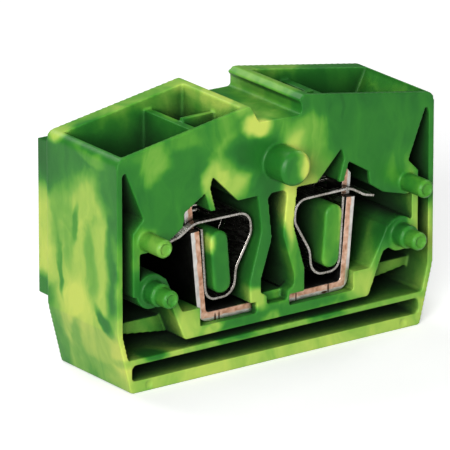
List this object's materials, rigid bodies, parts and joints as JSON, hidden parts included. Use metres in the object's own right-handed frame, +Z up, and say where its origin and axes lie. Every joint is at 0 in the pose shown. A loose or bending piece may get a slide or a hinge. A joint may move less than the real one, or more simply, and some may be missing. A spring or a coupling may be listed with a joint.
{
  "type": "din rail terminal block",
  "caption": "Narrow centre terminal block with an open-fronted marbled housing, a U-shaped current bar and cage-clamp springs fed from funnels in the top.",
  "frame": {"origin": "middle of the base, half way between the front and back faces of the housing", "axes": "+X along the block, -Y out of its open front, +Z up"},
  "size_m": [0.032, 0.0145, 0.0223],
  "materials": {
    "marbled_polyamide": "moulded satin plastic, green marbled with yellow-green",
    "tinned_copper": "tin-plated copper strip with bare copper on its cut edges",
    "spring_steel": "bright stainless spring strip"
  },
  "bodies": {
    "block": {"housing": "marbled_polyamide", "current_bar": "tinned_copper", "left_front_spring_leg": "spring_steel", "left_rear_spring_leg": "spring_steel", "right_front_spring_leg": "spring_steel", "right_rear_spring_leg": "spring_steel"},
    "left_front_cage": {"left_front_spring_cage": "spring_steel"},
    "left_rear_cage": {"left_rear_spring_cage": "spring_steel"},
    "right_front_cage": {"right_front_spring_cage": "spring_steel"},
    "right_rear_cage": {"right_rear_spring_cage": "spring_steel"}
  },
  "joints": [
    {"name": "left_front_clamp", "type": "hinge", "parent": "block", "child": "left_front_cage", "pos_m": [-0.0052, 0, 0.0073], "axis": [0, -1, 0], "range_deg": [0, 12], "stiffness_Nm_per_rad": 0.1, "springref_deg": -17.19},
    {"name": "left_rear_clamp", "type": "hinge", "parent": "block", "child": "left_rear_cage", "pos_m": [-0.0052, 0, 0.0073], "axis": [0, -1, 0], "range_deg": [0, 12], "stiffness_Nm_per_rad": 0.1, "springref_deg": -17.19},
    {"name": "right_front_clamp", "type": "hinge", "parent": "block", "child": "right_front_cage", "pos_m": [0.0052, 0, 0.0073], "axis": [0, 1, 0], "range_deg": [0, 12], "stiffness_Nm_per_rad": 0.1, "springref_deg": -17.19},
    {"name": "right_rear_clamp", "type": "hinge", "parent": "block", "child": "right_rear_cage", "pos_m": [0.0052, 0, 0.0073], "axis": [0, 1, 0], "range_deg": [0, 12], "stiffness_Nm_per_rad": 0.1, "springref_deg": -17.19}
  ]
}
